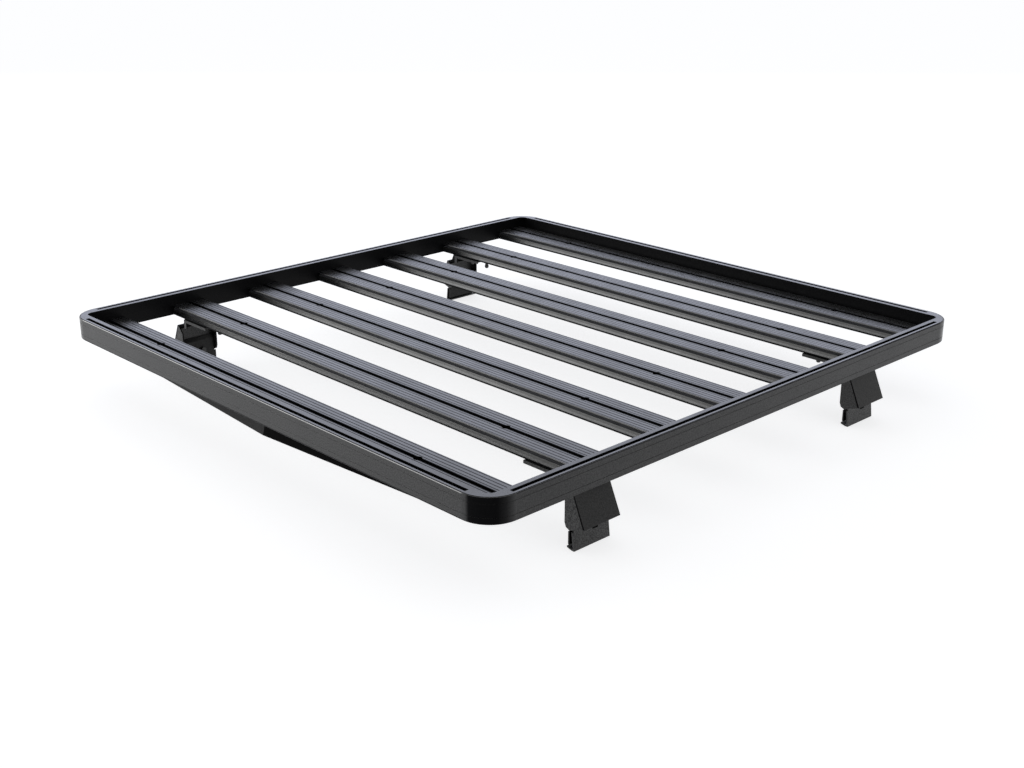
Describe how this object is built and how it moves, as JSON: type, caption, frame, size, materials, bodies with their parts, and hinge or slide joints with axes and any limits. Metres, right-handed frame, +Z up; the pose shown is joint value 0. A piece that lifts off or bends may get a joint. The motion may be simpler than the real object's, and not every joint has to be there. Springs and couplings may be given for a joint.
{
  "type": "flat platform roof rack",
  "caption": "Flat roof rack tray: slotted cross slats in a rounded rail frame, with a swept wind fairing and clamped gutter feet.",
  "frame": {"origin": "middle of the footprint, on the plane where the four feet rest", "axes": "+X to the vehicle's right, -Y to its front, +Z up"},
  "size_m": [1.33, 1.36, 0.176],
  "materials": {
    "rail_coat": "fine-textured satin black powder coat",
    "corner_coat": "smoother satin black powder coat",
    "slat_coat": "fine-textured satin black powder coat",
    "fairing_coat": "matt black powder coat",
    "foot_coat": "matt black powder coat",
    "black_bolt": "black oxide"
  },
  "bodies": {
    "root": {"front_rail": "rail_coat", "back_rail": "rail_coat", "left_rail": "rail_coat", "right_rail": "rail_coat", "corner_front_left": "corner_coat", "corner_front_right": "corner_coat", "corner_back_left": "corner_coat", "corner_back_right": "corner_coat", "slat_1": "slat_coat", "slat_2": "slat_coat", "slat_3": "slat_coat", "slat_4": "slat_coat", "slat_5": "slat_coat", "slat_6": "slat_coat", "slat_7": "slat_coat", "fairing": "fairing_coat", "fairing_bolts": "black_bolt", "foot_front_left_bracket": "foot_coat", "foot_front_left_leg": "foot_coat", "foot_front_left_jaw": "foot_coat", "foot_front_left_clamp_bolt": "black_bolt", "foot_front_left_mount_bolts": "black_bolt", "foot_front_right_bracket": "foot_coat", "foot_front_right_leg": "foot_coat", "foot_front_right_jaw": "foot_coat", "foot_front_right_clamp_bolt": "black_bolt", "foot_front_right_mount_bolts": "black_bolt", "foot_back_left_bracket": "foot_coat", "foot_back_left_leg": "foot_coat", "foot_back_left_jaw": "foot_coat", "foot_back_left_clamp_bolt": "black_bolt", "foot_back_left_mount_bolts": "black_bolt", "foot_back_right_bracket": "foot_coat", "foot_back_right_leg": "foot_coat", "foot_back_right_jaw": "foot_coat", "foot_back_right_clamp_bolt": "black_bolt", "foot_back_right_mount_bolts": "black_bolt"}
  },
  "joints": []
}
